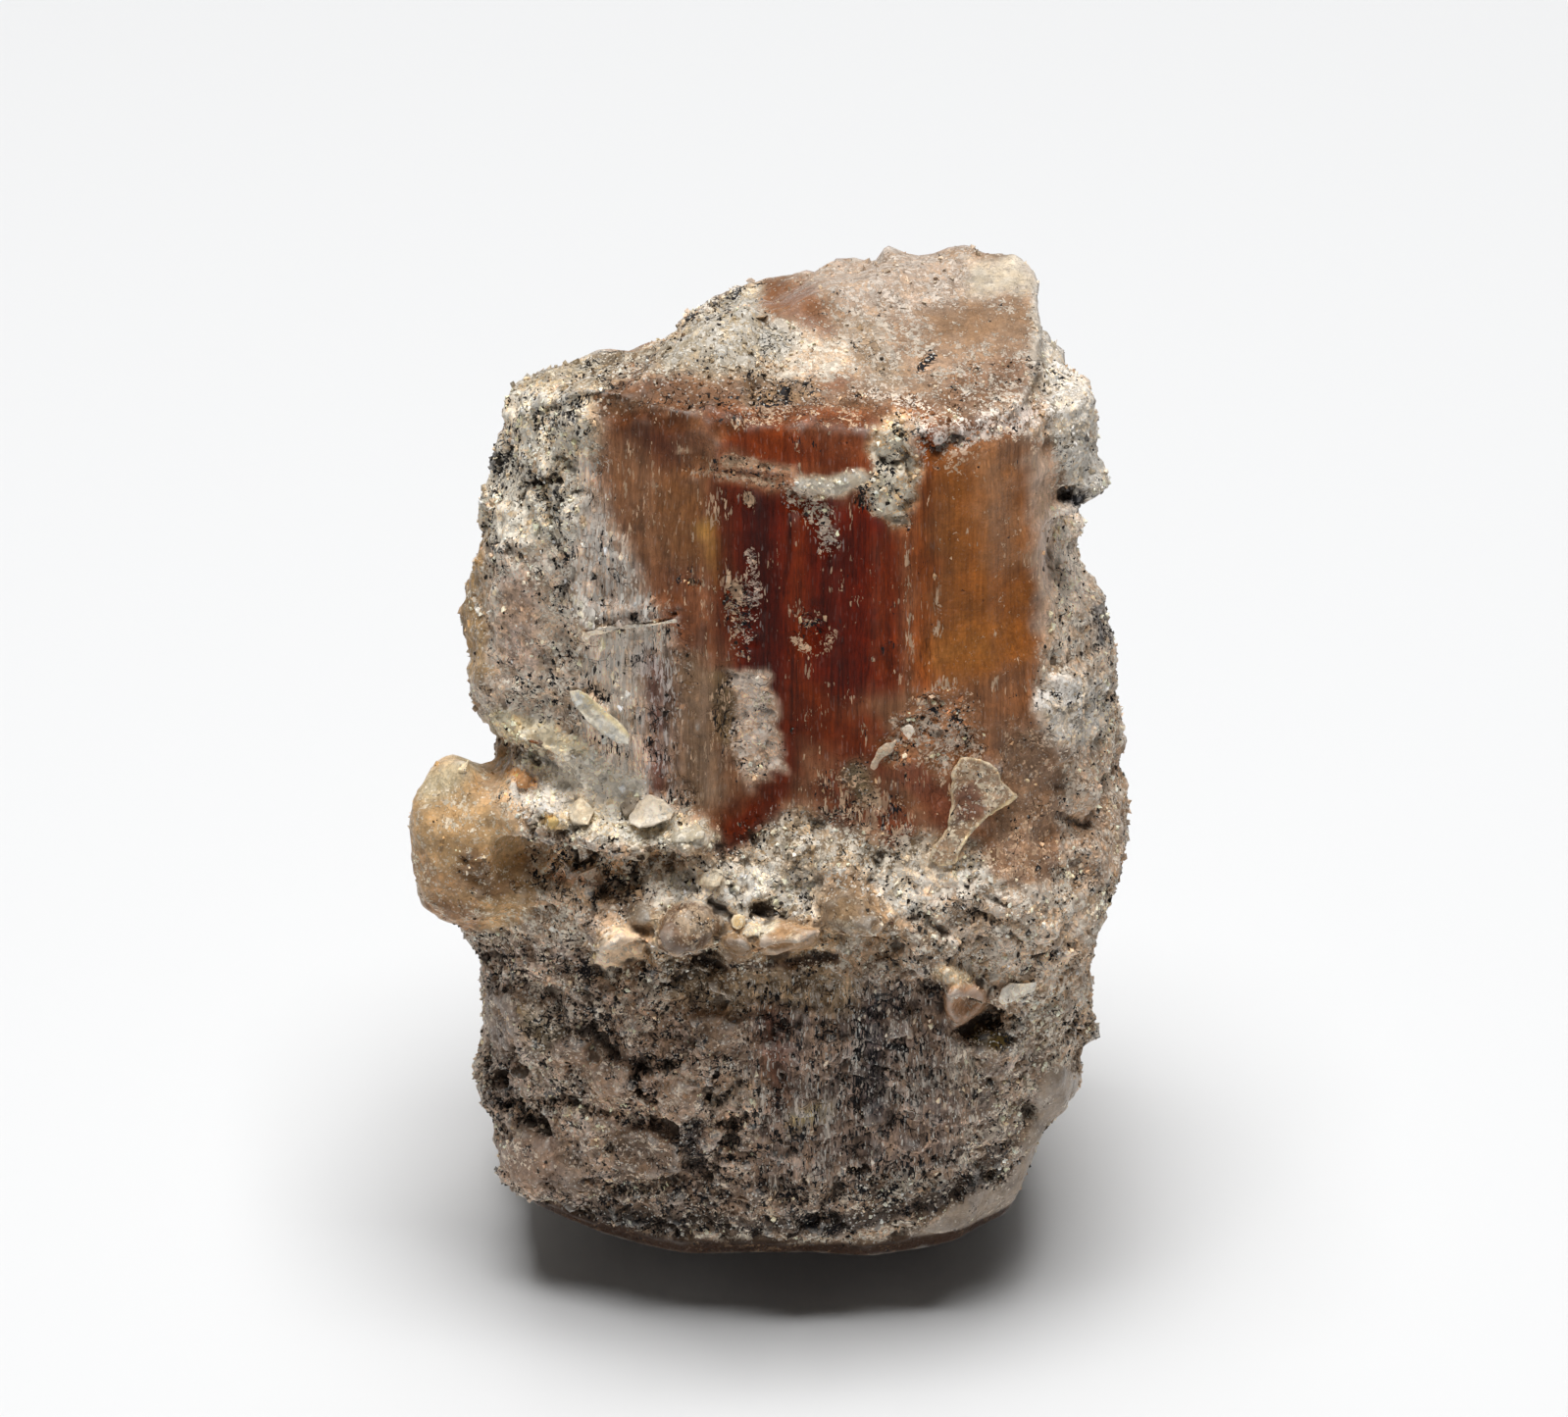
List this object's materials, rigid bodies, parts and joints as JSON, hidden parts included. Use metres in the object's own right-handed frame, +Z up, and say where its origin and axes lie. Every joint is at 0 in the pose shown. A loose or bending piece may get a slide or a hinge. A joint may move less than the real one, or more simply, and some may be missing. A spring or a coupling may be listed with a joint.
{
  "type": "childrenite crystal",
  "caption": "Stubby broken crystal of childrenite: a glassy red-brown prism face and top in a grey granular coat, with a small rounded crystal at its left, standing on its flat broken base.",
  "frame": {"origin": "middle of the crystal's width and depth, on the surface that it stands on", "axes": "+Z up along the crystal's prism; -Y towards the viewer, out of the glassy prism face; +X to the viewer's right"},
  "size_m": [0.018, 0.0136, 0.0274],
  "materials": {
    "childrenite": "satin to glassy red-brown crystal faces, striated upright; elsewhere a matt, sugary grey-beige granular coat with black specks"
  },
  "bodies": {
    "root": {"childrenite_crystal": "childrenite"}
  },
  "joints": []
}
